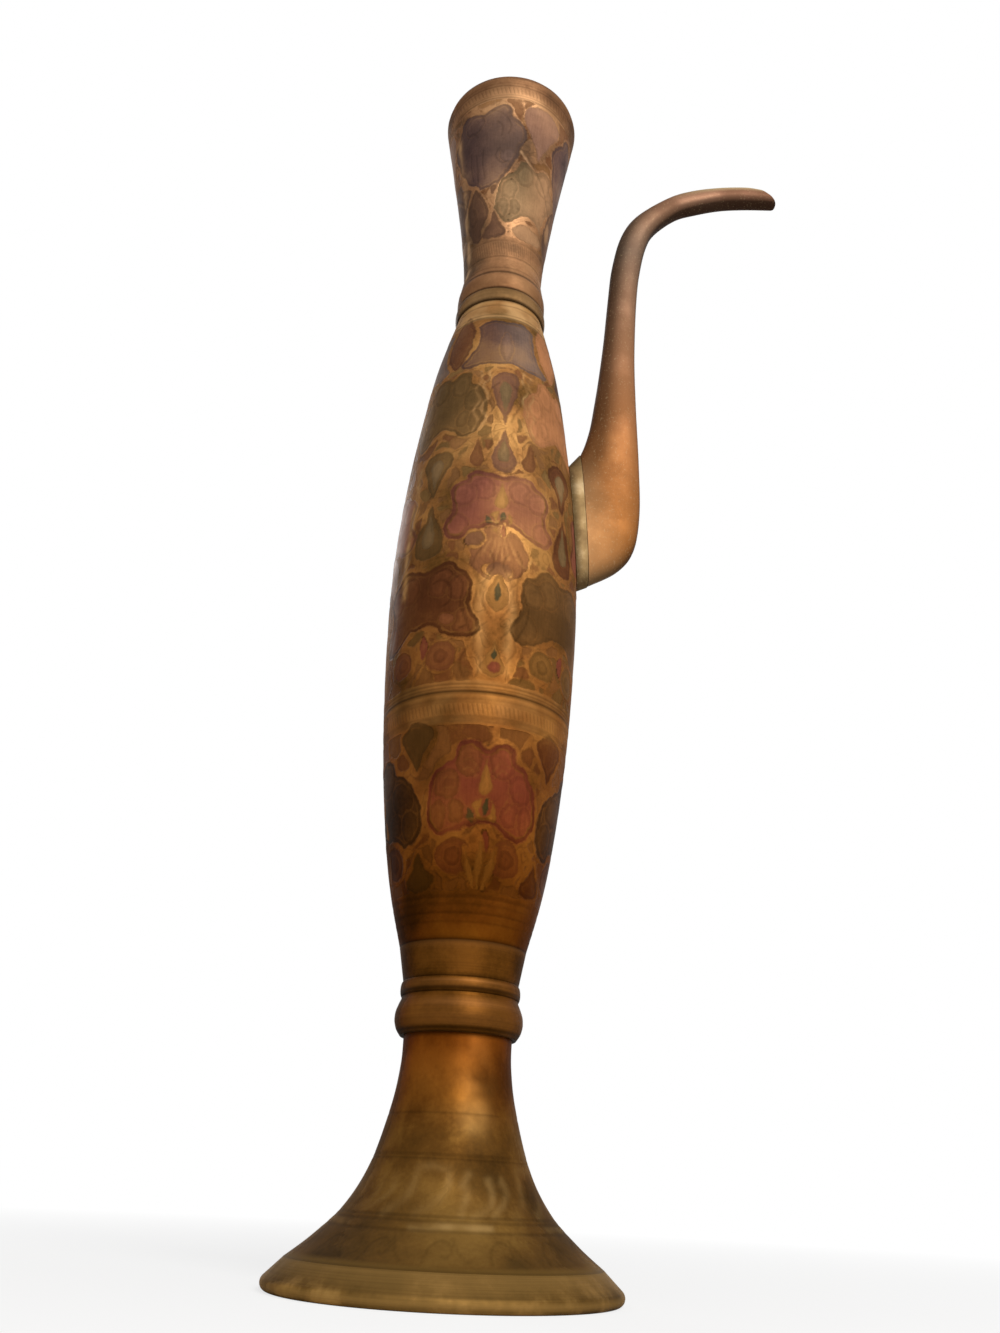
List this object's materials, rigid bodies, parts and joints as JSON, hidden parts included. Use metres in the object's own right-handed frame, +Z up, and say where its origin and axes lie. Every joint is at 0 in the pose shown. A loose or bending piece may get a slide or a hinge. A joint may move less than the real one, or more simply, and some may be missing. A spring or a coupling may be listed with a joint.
{
  "type": "surahi",
  "caption": "Tall brass ewer with a trumpet foot, a long waisted engraved body, a swan-neck pouring spout and a flared filling mouth.",
  "frame": {"origin": "on the resting plane, under the middle of the whole outline with the spout included, so the upright axis of the turned pieces stands 45.5 mm towards -X", "axes": "+Z up along the axis of the turned pieces, +X the way the spout points, +Y to the left of the spout"},
  "size_m": [0.2188, 0.1278, 0.6],
  "materials": {
    "engraved_brass": "aged brass, hand engraved and filled with worn rose, maroon, purple, green and teal lacquer",
    "plain_brass": "aged brass, turned, satin with a dark patina in the grooves",
    "spout_brass": "coppery cast brass, filed smooth, worn pale at the tip",
    "fitting_brass": "plain machined brass, unpolished, hidden inside",
    "solder": "pale hard solder dressed back to the spout's root"
  },
  "bodies": {
    "root": {"base_ring": "plain_brass", "foot_bell": "engraved_brass", "foot_washer": "fitting_brass", "foot_nut": "fitting_brass", "joint_stud": "fitting_brass", "knop": "plain_brass", "fillet_ring": "plain_brass", "body_socket": "plain_brass", "lower_body": "engraved_brass", "body_sleeve": "fitting_brass", "upper_body": "engraved_brass", "neck_ring": "plain_brass", "neck_nipple": "fitting_brass", "mouth_funnel": "engraved_brass", "spout_collar": "solder", "spout_left_half": "spout_brass", "spout_right_half": "spout_brass"}
  },
  "joints": []
}
